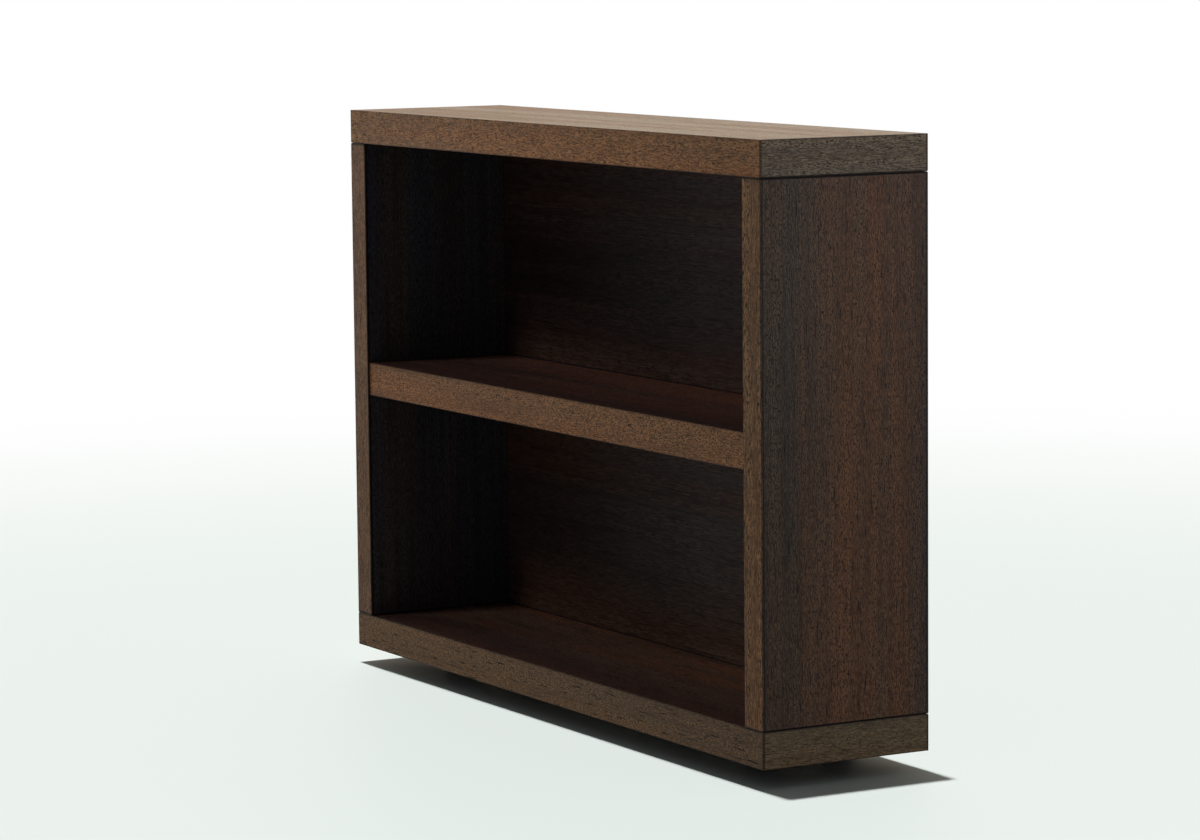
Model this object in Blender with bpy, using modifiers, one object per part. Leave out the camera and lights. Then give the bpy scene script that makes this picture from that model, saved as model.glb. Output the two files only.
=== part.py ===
"""Armrest bookcase: a low open bookcase of veneered boards whose top serves as an armrest.

The boards are dowelled together, the back panel sits in grooves, and every exposed board edge carries its
own strip of edging. A V-groove marks the joints of the sides with the top and bottom boards. Four levelling
feet carry the case, and threaded inserts in the rear edges of the sides take the bolts that fix it.

Units are metres. +Z is up, +X runs along the length, and the open front faces -Y. The origin is on the
floor, under the middle of the case.
"""

import math

import bmesh
import bpy
from mathutils import Matrix, Vector

# Case
LENGTH = 0.836
DEPTH = 0.183
FLOOR_GAP = 0.020
TOP_THICKNESS = 0.035
BOTTOM_THICKNESS = 0.035
SIDE_THICKNESS = 0.032
SHELF_THICKNESS = 0.035
LOWER_BAY_HEIGHT = 0.240
UPPER_BAY_HEIGHT = 0.235
SHELF_SETBACK = 0.002

# Back panel and the groove that holds it
BACK_THICKNESS = 0.008
BACK_INSET = 0.0065
GROOVE_DEPTH = 0.008

# Edging strips, V-groove and fits
EDGING_THICKNESS = 0.0012
ARRIS_RADIUS = 0.0005
V_GROOVE_DEPTH = 0.0015
CLEARANCE = 0.0003

# Dowels
DOWEL_DIAMETER = 0.008
DOWEL_LENGTH = 0.032
DOWEL_DEPTH_IN_FACE = 0.012
DOWEL_END_CHAMFER = 0.001
DOWEL_EDGE_DISTANCE = 0.028
DOWELS_PER_JOINT = 3

# Threaded inserts
INSERT_DIAMETER = 0.012
INSERT_LENGTH = 0.016
FLANGE_DIAMETER = 0.016
FLANGE_THICKNESS = 0.0015
INSERT_BORE_CHAMFER = 0.0006

# Levelling feet
FOOT_END_DISTANCE = 0.110
FOOT_FRONT_DISTANCE = 0.068
FOOT_REAR_DISTANCE = 0.030
FOOT_TRAVEL = 0.012
STEM_DIAMETER = 0.008
STEM_GRIP = 0.014
STEM_TIP_CHAMFER = 0.001
COLLAR_ACROSS_FLATS = 0.014
SPIGOT_DIAMETER = 0.006
SPIGOT_LENGTH = 0.005
PAD_DIAMETER = 0.032
PAD_SHOULDER_DIAMETER = 0.020
PAD_HEIGHT = 0.012
PAD_RIM_HEIGHT = 0.005
PAD_EDGE_CHAMFER = 0.0008

# Bolt fixings in the rear edges of the sides
FIXING_LOW_HEIGHT = 0.160
FIXING_PITCH = 0.100
BOLT_HOLE_DEPTH = 0.030

# Facets round a full turn
ROUND_STEPS = 24
DOWEL_STEPS = 16
HEXAGON_STEPS = 6
ARRIS_SEGMENTS = 2

# Planes and centres worked out from the sizes above
HALF_LENGTH = LENGTH / 2
FRONT_Y = -DEPTH / 2
REAR_Y = DEPTH / 2
INNER_X = HALF_LENGTH - SIDE_THICKNESS
BOTTOM_TOP_Z = FLOOR_GAP + BOTTOM_THICKNESS
SHELF_UNDER_Z = BOTTOM_TOP_Z + LOWER_BAY_HEIGHT
SHELF_TOP_Z = SHELF_UNDER_Z + SHELF_THICKNESS
TOP_UNDER_Z = SHELF_TOP_Z + UPPER_BAY_HEIGHT
TOP_Z = TOP_UNDER_Z + TOP_THICKNESS
BACK_REAR_Y = REAR_Y - BACK_INSET
BACK_FRONT_Y = BACK_REAR_Y - BACK_THICKNESS
CORE_SETBACK = EDGING_THICKNESS + CLEARANCE
STEM_LENGTH = STEM_GRIP + FOOT_TRAVEL
COLLAR_HEIGHT = FLOOR_GAP - PAD_HEIGHT - 2 * CLEARANCE
SIDE_CENTRE_X = HALF_LENGTH - SIDE_THICKNESS / 2
FIXING_X = HALF_LENGTH - (SIDE_THICKNESS - GROOVE_DEPTH) / 2
SIDES = {"left": -1, "right": 1}


def clear_scene():
    """Remove every object that the file starts with."""
    for obj in list(bpy.data.objects):
        bpy.data.objects.remove(obj, do_unlink=True)


def new_collection(name):
    """Add a collection to the scene."""
    collection = bpy.data.collections.new(name)
    bpy.context.scene.collection.children.link(collection)
    return collection


def new_material(name, colour, roughness, metallic=0.0):
    """A Principled material with one colour."""
    material = bpy.data.materials.new(name)
    material.use_nodes = True
    shader = material.node_tree.nodes["Principled BSDF"]
    shader.inputs["Base Color"].default_value = (*colour, 1.0)
    shader.inputs["Roughness"].default_value = roughness
    shader.inputs["Metallic"].default_value = metallic
    return material


clear_scene()
PARTS = new_collection("armrest_bookcase")
CUTTERS = new_collection("armrest_bookcase_cutters")
FACE_VENEER = new_material("face_veneer", (0.040, 0.022, 0.014), 0.42)
EDGE_VENEER = new_material("edge_veneer", (0.120, 0.070, 0.042), 0.50)
BACK_VENEER = new_material("back_veneer", (0.036, 0.019, 0.012), 0.45)
BEECH = new_material("beech", (0.520, 0.340, 0.190), 0.65)
ZINC = new_material("zinc", (0.560, 0.560, 0.540), 0.35, 1.0)
STEEL = new_material("steel", (0.480, 0.480, 0.490), 0.30, 1.0)
BLACK_PLASTIC = new_material("black_plastic", (0.015, 0.015, 0.016), 0.55)

# Every piece hangs from one empty at the origin
CASE = bpy.data.objects.new("bookcase_origin", None)
PARTS.objects.link(CASE)


def add_piece(name, mesh, material, location=(0, 0, 0), rotation=(0, 0, 0)):
    """Place a sub-part and give it its material."""
    piece = bpy.data.objects.new(name, mesh)
    piece.location = location
    piece.rotation_euler = rotation
    piece.parent = CASE
    if not mesh.materials:
        mesh.materials.append(material)
    PARTS.objects.link(piece)
    return piece


def add_cutter(name, mesh, location=(0, 0, 0), rotation=(0, 0, 0)):
    """Place a shape that only cuts or joins other pieces."""
    cutter = bpy.data.objects.new(name, mesh)
    cutter.location = location
    cutter.rotation_euler = rotation
    cutter.display_type = "WIRE"
    cutter.hide_render = True
    CUTTERS.objects.link(cutter)
    return cutter


def boolean(piece, operand, operation="DIFFERENCE"):
    """Cut a piece with another shape, or join that shape to it."""
    modifier = piece.modifiers.new(f"{operation.lower()}_{operand.name}", "BOOLEAN")
    modifier.operation = operation
    modifier.object = operand


def box_mesh(name, low, high):
    """A box between two corners, centred on its own origin. Returns the mesh and the centre."""
    low = Vector(low)
    high = Vector(high)
    mesh = bpy.data.meshes.new(name)
    bm = bmesh.new()
    bmesh.ops.create_cube(bm, size=1.0)
    bmesh.ops.scale(bm, vec=high - low, verts=bm.verts)
    bm.to_mesh(mesh)
    bm.free()
    return mesh, (low + high) / 2


def add_board(name, low, high, material):
    """A flat board between two corners."""
    mesh, centre = box_mesh(name, low, high)
    return add_piece(name, mesh, material, centre)


def add_edging(name, low, high, face, eased_ends):
    """A strip of edging whose outer face, along the axis and sign of face, has eased long edges.

    The two short edges of that face are eased too where the strip turns the corner of the case.
    """
    strip = add_board(name, low, high, EDGE_VENEER)
    axis, sign = face
    size = Vector(high) - Vector(low)
    long_axis = max(range(3), key=lambda k: size[k])
    weights = strip.data.attributes.new("bevel_weight_edge", "FLOAT", "EDGE")
    for edge in strip.data.edges:
        ends = [strip.data.vertices[index].co for index in edge.vertices]
        on_face = all(end[axis] * sign > 0 for end in ends)
        along = abs(ends[0][long_axis] - ends[1][long_axis]) > size[long_axis] / 2
        weights.data[edge.index].value = float(on_face and (along or eased_ends))
    bevel = strip.modifiers.new("eased_arris", "BEVEL")
    bevel.limit_method = "WEIGHT"
    bevel.width = min(ARRIS_RADIUS, EDGING_THICKNESS / 2)
    bevel.segments = ARRIS_SEGMENTS
    return strip


def turned_mesh(name, profile, closed, steps):
    """A turned shape: a profile of (radius, height) points that runs down its outer side."""
    mesh = bpy.data.meshes.new(name)
    points = [(radius, 0.0, height) for radius, height in profile]
    edges = [(index, index + 1) for index in range(len(points) - 1)]
    if closed:
        edges.append((len(points) - 1, 0))
    mesh.from_pydata(points, edges, [])
    lathe = bpy.data.objects.new(name, mesh)
    screw = lathe.modifiers.new("turn", "SCREW")
    screw.axis = "Z"
    screw.steps = steps
    screw.render_steps = steps
    screw.use_merge_vertices = True
    screw.merge_threshold = 0.00001
    CUTTERS.objects.link(lathe)
    graph = bpy.context.evaluated_depsgraph_get()
    solid = bpy.data.meshes.new_from_object(lathe.evaluated_get(graph))
    bpy.data.objects.remove(lathe)
    solid.name = name
    solid.shade_smooth()
    solid.set_sharp_from_angle(angle=math.radians(30))
    return solid


def rod_mesh(name, radius, length, steps, chamfer=0.0):
    """A plain round rod along Z, centred on its origin, with chamfered ends."""
    half = length / 2
    profile = [(0.0, half), (radius - chamfer, half), (radius, half - chamfer)]
    profile += [(radius, chamfer - half), (radius - chamfer, -half), (0.0, -half)]
    if not chamfer:
        profile = [(0.0, half), (radius, half), (radius, -half), (0.0, -half)]
    return turned_mesh(name, profile, False, steps)


def build_boards():
    """The six boards of the case, without their edging."""
    core_x = HALF_LENGTH - CORE_SETBACK
    core_front = FRONT_Y + CORE_SETBACK
    core_rear = REAR_Y - CORE_SETBACK
    boards = {}
    boards["top_board"] = add_board(
        "top_board", (-core_x, core_front, TOP_UNDER_Z), (core_x, core_rear, TOP_Z), FACE_VENEER)
    boards["bottom_board"] = add_board(
        "bottom_board", (-core_x, core_front, FLOOR_GAP), (core_x, core_rear, BOTTOM_TOP_Z), FACE_VENEER)
    for side, sign in SIDES.items():
        low_x, high_x = sorted((sign * INNER_X, sign * HALF_LENGTH))
        name = f"{side}_side"
        boards[name] = add_board(
            name, (low_x, core_front, BOTTOM_TOP_Z + CLEARANCE),
            (high_x, core_rear, TOP_UNDER_Z - CLEARANCE), FACE_VENEER)
    shelf_x = INNER_X - CLEARANCE
    boards["middle_shelf"] = add_board(
        "middle_shelf", (-shelf_x, core_front + SHELF_SETBACK, SHELF_UNDER_Z),
        (shelf_x, BACK_FRONT_Y - CLEARANCE, SHELF_TOP_Z), FACE_VENEER)
    return boards


def build_back_panel(boards):
    """The back panel, and the groove for it in the four boards around it."""
    half_width = INNER_X + GROOVE_DEPTH
    low = Vector((-half_width, BACK_FRONT_Y, BOTTOM_TOP_Z - GROOVE_DEPTH))
    high = Vector((half_width, BACK_REAR_Y, TOP_UNDER_Z + GROOVE_DEPTH))
    play = Vector((CLEARANCE, 0, CLEARANCE))
    add_board("back_panel", low + play, high - play, BACK_VENEER)
    play = Vector((0, CLEARANCE, 0))
    groove = add_cutter("back_groove_cutter", *box_mesh("back_groove_cutter", low - play, high + play))
    for name in ("top_board", "bottom_board", "left_side", "right_side"):
        boolean(boards[name], groove)


def build_edging():
    """The edging strips of every exposed board edge. Front and rear strips run the full length."""
    strips = {}
    front = (1, -1)
    rear = (1, 1)
    for board, low_z, high_z in (("top", TOP_UNDER_Z, TOP_Z), ("bottom", FLOOR_GAP, BOTTOM_TOP_Z)):
        for place, face, inner_y, outer_y in (
                ("front", front, FRONT_Y + EDGING_THICKNESS, FRONT_Y),
                ("rear", rear, REAR_Y - EDGING_THICKNESS, REAR_Y)):
            low_y, high_y = sorted((inner_y, outer_y))
            name = f"{board}_{place}_edging"
            strips[name] = add_edging(
                name, (-HALF_LENGTH, low_y, low_z), (HALF_LENGTH, high_y, high_z), face, True)
        for side, sign in SIDES.items():
            low_x, high_x = sorted((sign * (HALF_LENGTH - EDGING_THICKNESS), sign * HALF_LENGTH))
            name = f"{board}_{side}_edging"
            strips[name] = add_edging(
                name, (low_x, FRONT_Y + CORE_SETBACK, low_z),
                (high_x, REAR_Y - CORE_SETBACK, high_z), (0, sign), False)
    for side, sign in SIDES.items():
        low_x, high_x = sorted((sign * INNER_X, sign * HALF_LENGTH))
        low_z = BOTTOM_TOP_Z + CLEARANCE
        high_z = TOP_UNDER_Z - CLEARANCE
        for place, face, low_y in (
                ("front", front, FRONT_Y), ("rear", rear, REAR_Y - EDGING_THICKNESS)):
            name = f"{side}_side_{place}_edging"
            strips[name] = add_edging(
                name, (low_x, low_y, low_z), (high_x, low_y + EDGING_THICKNESS, high_z), face, False)
    shelf_x = INNER_X - CLEARANCE
    shelf_y = FRONT_Y + SHELF_SETBACK
    strips["shelf_front_edging"] = add_edging(
        "shelf_front_edging", (-shelf_x, shelf_y, SHELF_UNDER_Z),
        (shelf_x, shelf_y + EDGING_THICKNESS, SHELF_TOP_Z), front, False)
    return strips


def cut_v_grooves(boards, strips):
    """The V-groove along the outer faces at the joints of the sides with the top and bottom boards."""
    width = V_GROOVE_DEPTH * math.sqrt(2)
    half_run = DEPTH / 2 + V_GROOVE_DEPTH
    low = (-width / 2, -half_run, -width / 2)
    high = (width / 2, half_run, width / 2)
    joints = {"top": TOP_UNDER_Z - CLEARANCE / 2, "bottom": BOTTOM_TOP_Z + CLEARANCE / 2}
    for board, joint_z in joints.items():
        for side, sign in SIDES.items():
            name = f"{board}_{side}_groove_cutter"
            mesh, _ = box_mesh(name, low, high)
            place = (sign * HALF_LENGTH, 0, joint_z)
            groove = add_cutter(name, mesh, place, (0, math.radians(45), 0))
            pieces = [boards[f"{board}_board"], boards[f"{side}_side"], strips[f"{board}_{side}_edging"]]
            for end in ("front", "rear"):
                pieces.append(strips[f"{board}_{end}_edging"])
                pieces.append(strips[f"{side}_side_{end}_edging"])
            for piece in pieces:
                boolean(piece, groove)


def dowel_rows():
    """Places of the dowels across the depth of a joint."""
    first = FRONT_Y + DOWEL_EDGE_DISTANCE
    last = BACK_FRONT_Y - DOWEL_EDGE_DISTANCE
    step = (last - first) / max(DOWELS_PER_JOINT - 1, 1)
    return [first + step * row for row in range(DOWELS_PER_JOINT)]


def build_dowels(boards):
    """The dowels of the six board joints, and their holes in the two boards of each joint."""
    radius = DOWEL_DIAMETER / 2
    dowel = rod_mesh("dowel", radius, DOWEL_LENGTH, DOWEL_STEPS, DOWEL_END_CHAMFER)
    hole = rod_mesh(
        "dowel_hole", radius + CLEARANCE, DOWEL_LENGTH + 2 * CLEARANCE, DOWEL_STEPS)
    offset = DOWEL_DEPTH_IN_FACE - DOWEL_LENGTH / 2
    shelf_z = (SHELF_UNDER_Z + SHELF_TOP_Z) / 2
    sideways = (0, math.radians(90), 0)
    for side, sign in SIDES.items():
        joints = (
            ("top", "top_board", sign * SIDE_CENTRE_X, TOP_UNDER_Z + offset, (0, 0, 0)),
            ("bottom", "bottom_board", sign * SIDE_CENTRE_X, BOTTOM_TOP_Z - offset, (0, 0, 0)),
            ("shelf", "middle_shelf", sign * (INNER_X + offset), shelf_z, sideways))
        for joint, board, x, z, rotation in joints:
            for row, y in enumerate(dowel_rows(), start=1):
                name = f"dowel_{joint}_{side}_{row}"
                add_piece(name, dowel, BEECH, (x, y, z), rotation)
                cutter = add_cutter(f"{name}_hole", hole, (x, y, z), rotation)
                boolean(boards[board], cutter)
                boolean(boards[f"{side}_side"], cutter)


def insert_mesh():
    """A flanged threaded insert. Its flange's outer face is at height 0, and its body runs up from it."""
    bore = STEM_DIAMETER / 2 + CLEARANCE
    body = INSERT_DIAMETER / 2
    flange = FLANGE_DIAMETER / 2
    profile = [
        (bore, INSERT_LENGTH), (body, INSERT_LENGTH), (body, FLANGE_THICKNESS),
        (flange, FLANGE_THICKNESS), (flange, 0.0),
        (bore + INSERT_BORE_CHAMFER, 0.0), (bore, INSERT_BORE_CHAMFER)]
    return turned_mesh("threaded_insert", profile, True, ROUND_STEPS)


def insert_hole_mesh(name, depth):
    """The stepped hole for an insert and for the stem or bolt that runs on past it."""
    bolt = STEM_DIAMETER / 2 + CLEARANCE
    body = INSERT_DIAMETER / 2 + CLEARANCE
    flange = FLANGE_DIAMETER / 2 + CLEARANCE
    seat = FLANGE_THICKNESS + CLEARANCE
    shoulder = INSERT_LENGTH + CLEARANCE
    profile = [
        (0.0, depth), (bolt, depth), (bolt, shoulder), (body, shoulder), (body, seat), (flange, seat),
        (flange, -CLEARANCE), (0.0, -CLEARANCE)]
    return turned_mesh(name, profile, False, ROUND_STEPS)


def stem_mesh():
    """A foot's turned stem: the spigot below height 0, where the collar's foot is, and the shank above."""
    shank = STEM_DIAMETER / 2
    spigot = SPIGOT_DIAMETER / 2
    tip = COLLAR_HEIGHT + STEM_LENGTH
    waist = COLLAR_HEIGHT / 2
    profile = [
        (0.0, tip), (shank - STEM_TIP_CHAMFER, tip), (shank, tip - STEM_TIP_CHAMFER), (shank, waist),
        (spigot, waist), (spigot, -SPIGOT_LENGTH), (0.0, -SPIGOT_LENGTH)]
    return turned_mesh("foot_stem", profile, False, ROUND_STEPS)


def collar_mesh():
    """The hexagon collar that a spanner turns, from height 0 up."""
    mesh = bpy.data.meshes.new("foot_collar")
    corner = COLLAR_ACROSS_FLATS / 2 / math.cos(math.pi / HEXAGON_STEPS)
    bm = bmesh.new()
    bmesh.ops.create_cone(
        bm, cap_ends=True, segments=HEXAGON_STEPS, radius1=corner, radius2=corner, depth=COLLAR_HEIGHT,
        matrix=Matrix.Translation((0, 0, COLLAR_HEIGHT / 2)))
    bm.to_mesh(mesh)
    bm.free()
    return mesh


def pad_mesh():
    """A foot's pad, flat underneath, with a socket for the stem's spigot."""
    socket = SPIGOT_DIAMETER / 2 + CLEARANCE
    socket_floor = PAD_HEIGHT - SPIGOT_LENGTH
    rim = PAD_DIAMETER / 2
    profile = [
        (0.0, socket_floor), (socket, socket_floor), (socket, PAD_HEIGHT),
        (PAD_SHOULDER_DIAMETER / 2, PAD_HEIGHT), (rim, PAD_RIM_HEIGHT),
        (rim, PAD_EDGE_CHAMFER), (rim - PAD_EDGE_CHAMFER, 0.0), (0.0, 0.0)]
    return turned_mesh("foot_pad", profile, False, ROUND_STEPS)


def build_feet(boards, insert):
    """Four levelling feet. The pad slides with the stem, and the stem turns in the insert above it."""
    stem = stem_mesh()
    collar = collar_mesh()
    pad = pad_mesh()
    hole = insert_hole_mesh("foot_hole", CLEARANCE + STEM_LENGTH)
    rows = {"front": FRONT_Y + FOOT_FRONT_DISTANCE, "rear": REAR_Y - FOOT_REAR_DISTANCE}
    for side, sign in SIDES.items():
        x = sign * (HALF_LENGTH - FOOT_END_DISTANCE)
        for row, y in rows.items():
            place = f"{row}_{side}"
            add_piece(f"foot_insert_{place}", insert, ZINC, (x, y, FLOOR_GAP))
            add_piece(f"foot_pad_{place}", pad, BLACK_PLASTIC, (x, y, 0))
            collar_foot = (x, y, PAD_HEIGHT + CLEARANCE)
            turned_stem = add_piece(f"foot_stem_{place}", stem, STEEL, collar_foot)
            boolean(turned_stem, add_cutter(f"foot_collar_{place}", collar, collar_foot), "UNION")
            boolean(boards["bottom_board"], add_cutter(f"foot_hole_{place}", hole, (x, y, FLOOR_GAP)))


def build_fixings(boards, strips, insert):
    """Threaded inserts for the fixing bolts in the rear edges of the sides."""
    hole = insert_hole_mesh("fixing_hole", BOLT_HOLE_DEPTH)
    into_edge = (math.radians(90), 0, 0)
    for side, sign in SIDES.items():
        for level, z in (("lower", FIXING_LOW_HEIGHT), ("upper", FIXING_LOW_HEIGHT + FIXING_PITCH)):
            place = (sign * FIXING_X, REAR_Y, z)
            name = f"fixing_insert_{side}_{level}"
            add_piece(name, insert, ZINC, place, into_edge)
            cutter = add_cutter(f"{name}_hole", hole, place, into_edge)
            boolean(boards[f"{side}_side"], cutter)
            boolean(strips[f"{side}_side_rear_edging"], cutter)


def build_bookcase():
    """The whole bookcase, from its boards to its fixings."""
    boards = build_boards()
    build_back_panel(boards)
    strips = build_edging()
    cut_v_grooves(boards, strips)
    build_dowels(boards)
    insert = insert_mesh()
    build_feet(boards, insert)
    build_fixings(boards, strips, insert)


build_bookcase()
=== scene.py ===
"""Looks of the armrest bookcase: dark veneer, lighter edging, hardware, soft studio light and camera.

Units are metres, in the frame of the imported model: +Z up, +X along the length, the open front faces -Y.
"""

import math

import bmesh
import bpy
from mathutils import Matrix, Vector


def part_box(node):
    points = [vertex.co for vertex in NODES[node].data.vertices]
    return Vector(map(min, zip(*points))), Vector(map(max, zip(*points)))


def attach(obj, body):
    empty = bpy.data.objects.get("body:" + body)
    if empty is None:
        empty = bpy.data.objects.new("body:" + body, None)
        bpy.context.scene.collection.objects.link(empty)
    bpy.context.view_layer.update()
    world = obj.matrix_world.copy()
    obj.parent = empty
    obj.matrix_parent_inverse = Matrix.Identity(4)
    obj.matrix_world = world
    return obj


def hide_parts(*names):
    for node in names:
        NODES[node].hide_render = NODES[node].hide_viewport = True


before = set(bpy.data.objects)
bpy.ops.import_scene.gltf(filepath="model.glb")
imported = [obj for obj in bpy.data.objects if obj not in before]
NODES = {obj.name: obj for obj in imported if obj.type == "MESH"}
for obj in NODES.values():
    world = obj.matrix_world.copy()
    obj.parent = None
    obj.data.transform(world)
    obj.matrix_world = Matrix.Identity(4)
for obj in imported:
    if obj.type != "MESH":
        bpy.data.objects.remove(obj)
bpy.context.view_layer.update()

# Camera, fitted to the edges of the case in the photograph
CAMERA_PLACE = (3.7209, -2.1279, 0.7934)
CAMERA_YAW = 60.513
CAMERA_PITCH = -6.577
CAMERA_ROLL = -0.561
CAMERA_LENS = 128.52
CAMERA_SENSOR = 36.0

# Studio: lamps as (place, target, width, height, power)
CASE_MIDDLE = (0.0, 0.0, 0.3)
LAMPS = {
    "left_softbox": ((-2.6, -0.60, 0.60), CASE_MIDDLE, 1.0, 1.0, 70.0),
    "front_softbox": ((-1.2, -3.3, 4.3), CASE_MIDDLE, 1.1, 1.1, 88.0),
    "rear_softbox": ((1.8, 1.8, 1.3), CASE_MIDDLE, 2.2, 2.2, 35.0),
}
LAMPS_WITHOUT_HIGHLIGHTS = ("left_softbox",)
SKYLIGHT_HEIGHT = 2.5
SKYLIGHT_DIRECTION = (0.075, 0.0, -1.0)
SKYLIGHT_ANGLE = 1.0
SKYLIGHT_STRENGTH = 3.7
AMBIENT_STRENGTH = 0.14
AMBIENT_COLOUR = (0.93, 0.98, 1.0)
BACKDROP_COLOUR = (1.0, 1.0, 1.0)
REFLECTED_WALL_DIRECTION = (-0.865, 0.49, 0.11)
REFLECTED_WALL_SPREAD = (0.55, 0.92)
REFLECTED_WALL = 0.97
REFLECTED_WALL_COLOUR = (1.0, 0.86, 0.67)
REFLECTED_ROOM = 0.06
FLOOR_COLOUR = (0.640, 0.692, 0.668)
FLOOR_BOUNCE_COLOUR = (0.245, 0.245, 0.245)
FLOOR_ROUGHNESS = 0.6
FLOOR_SIZE = 40.0
FLOOR_NEAR_RADIUS = 0.9
FLOOR_FAR_RADIUS = 3.0

# Directions of grain: turns that bring the grain of a piece along the pattern's X
GRAIN_TURNS = {"X": (0.0, 0.0, 0.0), "Y": (0.0, 0.0, -math.pi / 2), "Z": (0.0, math.pi / 2, 0.0)}

# Layers of the veneer's pattern: cells per metre along and across the grain, then the noise's detail
# and roughness
BANDS = ((1.5, 30.0, 30.0), 1.0, 0.5)
STRIPES = ((4.0, 150.0, 150.0), 2.0, 0.6)
FIBRES = ((150.0, 1300.0, 1300.0), 1.0, 0.6)
PORES = ((340.0, 1300.0, 1300.0), 1.0, 0.4)
VESSELS = ((45.0, 1100.0, 1100.0), 0.0, 0.5)

# Ranges of a layer's grey over which the bands, pores, vessels and clusters of pores come in
BAND_RANGE = (0.36, 0.64)
PORE_RANGE = (0.52, 0.60)
VESSEL_RANGE = (0.68, 0.76)
CLUSTER_RANGE = (0.34, 0.62)

# Shares of the layers in the veneer's tone, relief and dullness
MIDDLE_GREY = 0.5
FIBRE_SHARE = 0.65
STRIPE_SHARE = 0.35
PORES_OUT_OF_CLUSTERS = 0.5
FIBRE_RELIEF = 0.25
BAND_DULLNESS = 0.35
STRIPE_DULLNESS = 0.30

# Part of a dark line's width over which it fades out
LINE_FADE = (0.6, 1.0)

# Mottle of the hardware: detail and roughness of its noise, shares of clouds and grain, range of tone
MOTTLE_NOISE = (3.0, 0.55)
CLOUD_SHARE = 0.7
GRAIN_SHARE = 0.3
MOTTLE_RANGE = (0.3, 0.7)

# Sockets of a Mix node that mixes colours
MIX_FACTOR = 0
MIX_FIRST = 6
MIX_SECOND = 7
MIX_RESULT = 2


def new_group(name, inputs, outputs):
    """A shader node group with named sockets. Returns the tree, its input node and its output node."""
    tree = bpy.data.node_groups.new(name, "ShaderNodeTree")
    for socket, kind in inputs:
        tree.interface.new_socket(socket, in_out="INPUT", socket_type=kind)
    for socket, kind in outputs:
        tree.interface.new_socket(socket, in_out="OUTPUT", socket_type=kind)
    return tree, tree.nodes.new("NodeGroupInput"), tree.nodes.new("NodeGroupOutput")


def add_node(tree, kind, inputs=None, **settings):
    """Add a node with its settings. An input is a value, or a socket to link from."""
    node = tree.nodes.new(kind)
    for name, value in settings.items():
        setattr(node, name, value)
    for name, value in (inputs or {}).items():
        if isinstance(value, bpy.types.NodeSocket):
            tree.links.new(value, node.inputs[name])
        else:
            node.inputs[name].default_value = value
    return node


def math_node(tree, operation, first, second=0.0, third=0.0, clamp=False):
    """The result of a Math node."""
    node = add_node(tree, "ShaderNodeMath", {0: first, 1: second, 2: third}, operation=operation)
    node.use_clamp = clamp
    return node.outputs[0]


def mix_colour(tree, factor, first, second, blend="MIX"):
    """The result of mixing two colours."""
    node = add_node(tree, "ShaderNodeMix", {
        MIX_FACTOR: factor, MIX_FIRST: first, MIX_SECOND: second}, data_type="RGBA", blend_type=blend)
    return node.outputs[MIX_RESULT]


def stretch(tree, vector, cells):
    """Coordinates scaled to cells per metre along each axis."""
    return add_node(tree, "ShaderNodeMapping", {"Vector": vector, "Scale": cells}).outputs[0]


def noise(tree, vector, detail, roughness):
    """The grey value of a noise over the coordinates given."""
    node = add_node(tree, "ShaderNodeTexNoise", {
        "Vector": vector, "Scale": 1.0, "Detail": detail, "Roughness": roughness})
    return node.outputs["Fac"]


def pattern_layer(tree, vector, layer):
    """The grey value of one layer of the veneer's pattern."""
    cells, detail, roughness = layer
    return noise(tree, stretch(tree, vector, cells), detail, roughness)


def remap(tree, value, low, high, to_low=0.0, to_high=1.0):
    """A value taken from one range to another, smoothly and within its ends."""
    node = add_node(tree, "ShaderNodeMapRange", {
        "Value": value, "From Min": low, "From Max": high, "To Min": to_low, "To Max": to_high},
        interpolation_type="SMOOTHSTEP")
    return node.outputs[0]


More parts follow.
